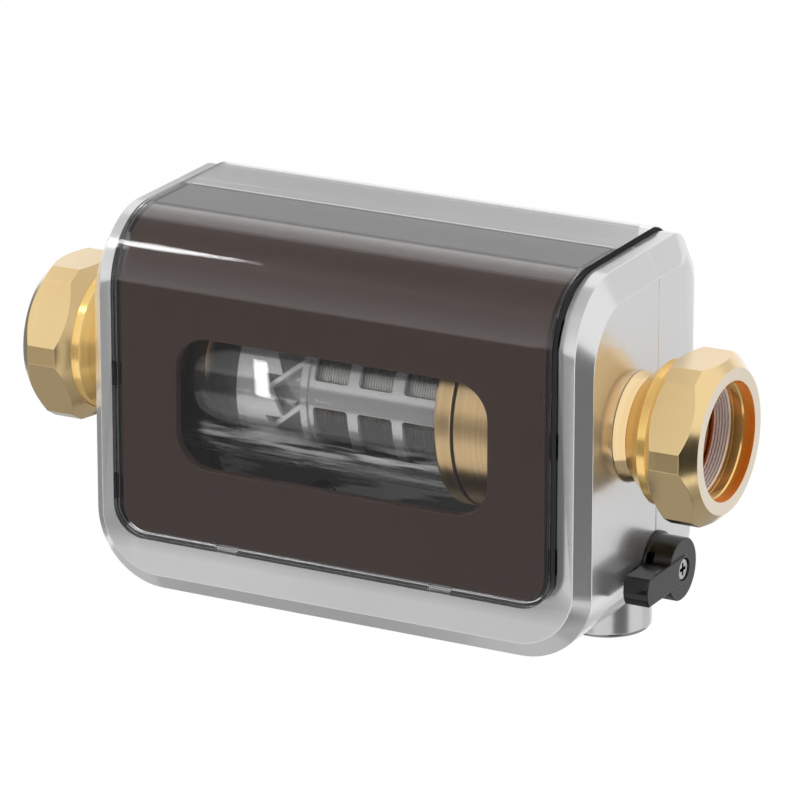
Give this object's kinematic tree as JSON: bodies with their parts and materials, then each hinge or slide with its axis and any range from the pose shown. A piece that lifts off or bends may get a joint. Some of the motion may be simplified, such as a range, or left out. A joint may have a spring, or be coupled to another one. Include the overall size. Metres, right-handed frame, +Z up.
{
  "type": "in-line water filter",
  "caption": "Horizontal in-line water filter with a clear cover over a windowed fascia, a swirl and screen cartridge, a union nut at each end and a quarter-turn drain lever.",
  "frame": {"origin": "on the pipe axis at the inlet sealing face, inside the inlet union nut", "axes": "+X along the flow from inlet to outlet, +Z up, -Y towards the window"},
  "size_m": [0.2682, 0.093, 0.1425],
  "materials": {
    "silver_shell": "satin silver",
    "clear_plastic": "clear polycarbonate",
    "fascia": "gloss dark brown",
    "trim": "satin grey",
    "dark_dome": "gloss dark grey",
    "rubber": "matte black",
    "steel": "brushed",
    "chrome": "polished",
    "bronze": "brushed bronze",
    "brass": "satin gold brass",
    "fibre_washer": "matte red-brown",
    "seat_plastic": "matte white",
    "black_plastic": "gloss black"
  },
  "bodies": {
    "housing": {"front_shell": "silver_shell", "rear_shell": "silver_shell", "clear_cover": "clear_plastic", "fascia_panel": "fascia", "top_trim": "trim", "housing_screws": "steel", "filter_chamber": "clear_plastic", "flow_dome": "dark_dome", "dome_ring": "rubber", "swirl_ring": "clear_plastic", "screen_cage": "clear_plastic", "filter_screen": "steel", "collar_ring": "bronze", "collar_seal": "rubber", "outlet_manifold": "bronze", "inlet_tailpiece": "brass", "inlet_port_seal": "rubber", "inlet_washer": "fibre_washer", "outlet_tailpiece": "brass", "outlet_port_seal": "rubber", "outlet_washer": "fibre_washer", "valve_body": "bronze", "valve_seal": "rubber", "upper_seat": "seat_plastic", "lower_seat": "seat_plastic", "stem_gland": "seat_plastic", "drain_spout": "silver_shell"},
    "inlet_nut": {"inlet_nut": "brass"},
    "outlet_nut": {"outlet_nut": "brass"},
    "drain_lever": {"drain_lever": "black_plastic", "lever_screw": "steel", "drain_stem": "steel", "stem_rings": "rubber", "drain_ball": "chrome"}
  },
  "joints": [
    {"name": "inlet_nut_spin", "type": "hinge", "parent": "housing", "child": "inlet_nut", "pos_m": [0, 0, 0], "axis": [1, 0, 0], "continuous": true},
    {"name": "outlet_nut_spin", "type": "hinge", "parent": "housing", "child": "outlet_nut", "pos_m": [0.235, 0, 0], "axis": [1, 0, 0], "continuous": true},
    {"name": "drain_lever_turn", "type": "hinge", "parent": "housing", "child": "drain_lever", "pos_m": [0.1975, 0.0167, -0.0565], "axis": [1, 0, 0], "range_deg": [0, 90]}
  ]
}
